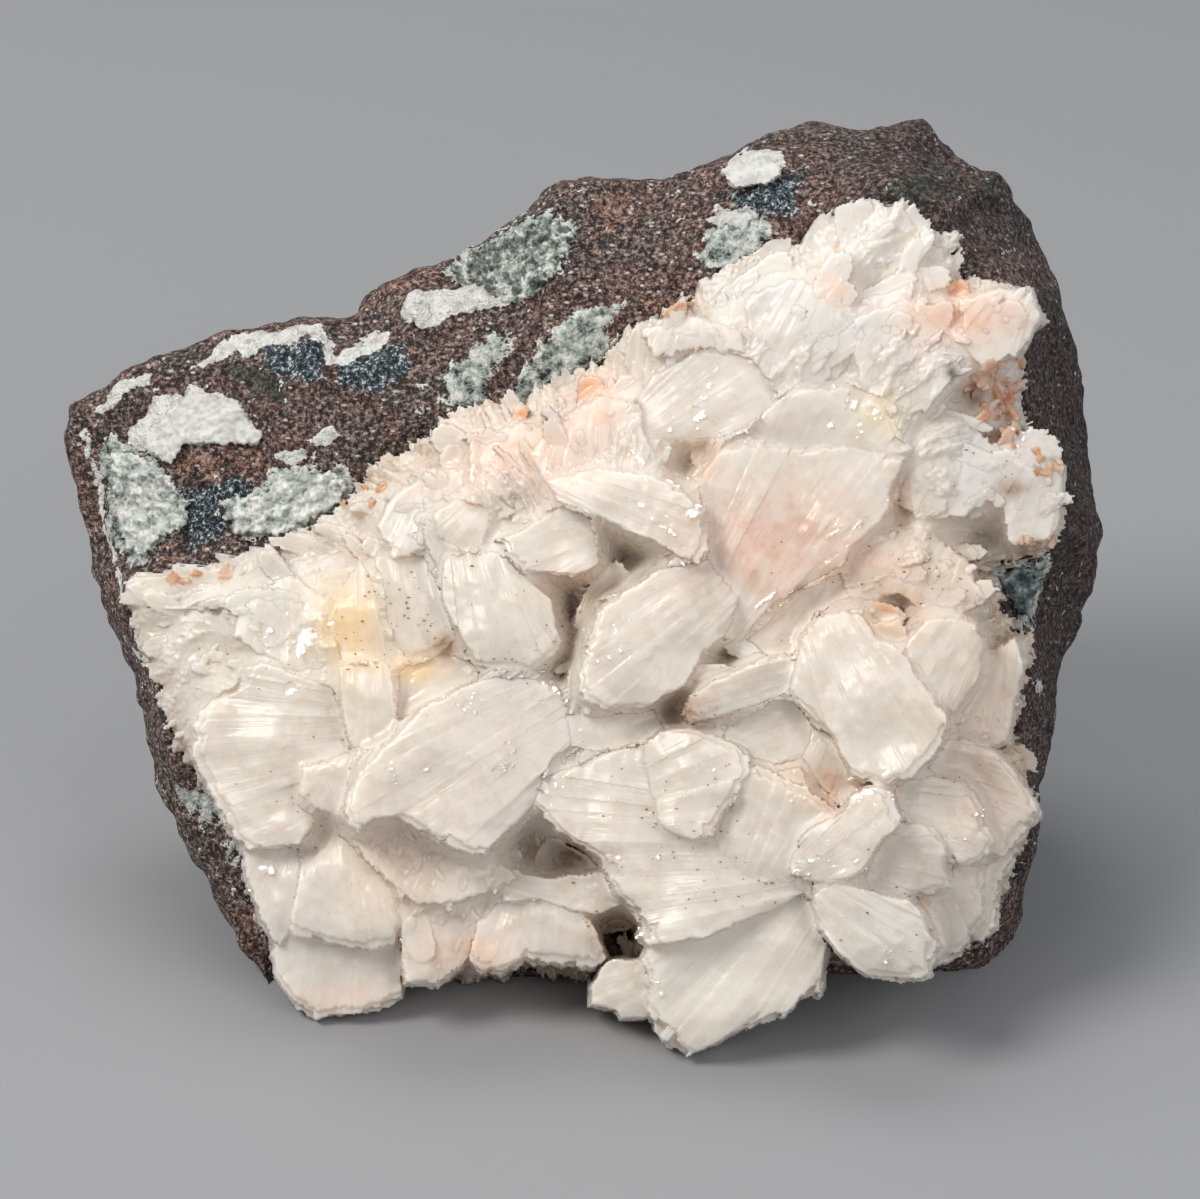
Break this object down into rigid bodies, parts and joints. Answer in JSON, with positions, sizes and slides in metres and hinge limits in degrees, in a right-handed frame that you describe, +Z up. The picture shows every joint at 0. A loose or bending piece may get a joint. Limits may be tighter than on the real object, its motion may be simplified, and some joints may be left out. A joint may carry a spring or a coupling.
{
  "type": "heulandite on basalt mineral specimen",
  "caption": "Broken basalt block standing on its flat underside, its front covered by a druse of overlapping heulandite plate crystals.",
  "frame": {"origin": "middle of the bounding box, on the level of the underside", "axes": "+X along the width to the right of someone who faces the crystals, -Y towards that person, +Z up"},
  "size_m": [0.1076, 0.0804, 0.0772],
  "materials": {
    "basalt": "rough broken",
    "heulandite": "pearly, slightly see-through",
    "white_zeolite": "matte",
    "green_druse": "sparkling fine crystals",
    "dark_druse": "sparkling fine crystals"
  },
  "bodies": {
    "root": {"basalt_matrix": "basalt", "heulandite_druse": "heulandite", "white_zeolite_patch": "white_zeolite", "white_zeolite_knob": "white_zeolite", "green_druse_left": "green_druse", "green_druse_middle": "green_druse", "green_druse_top": "green_druse", "dark_druse_right": "dark_druse"}
  },
  "joints": []
}
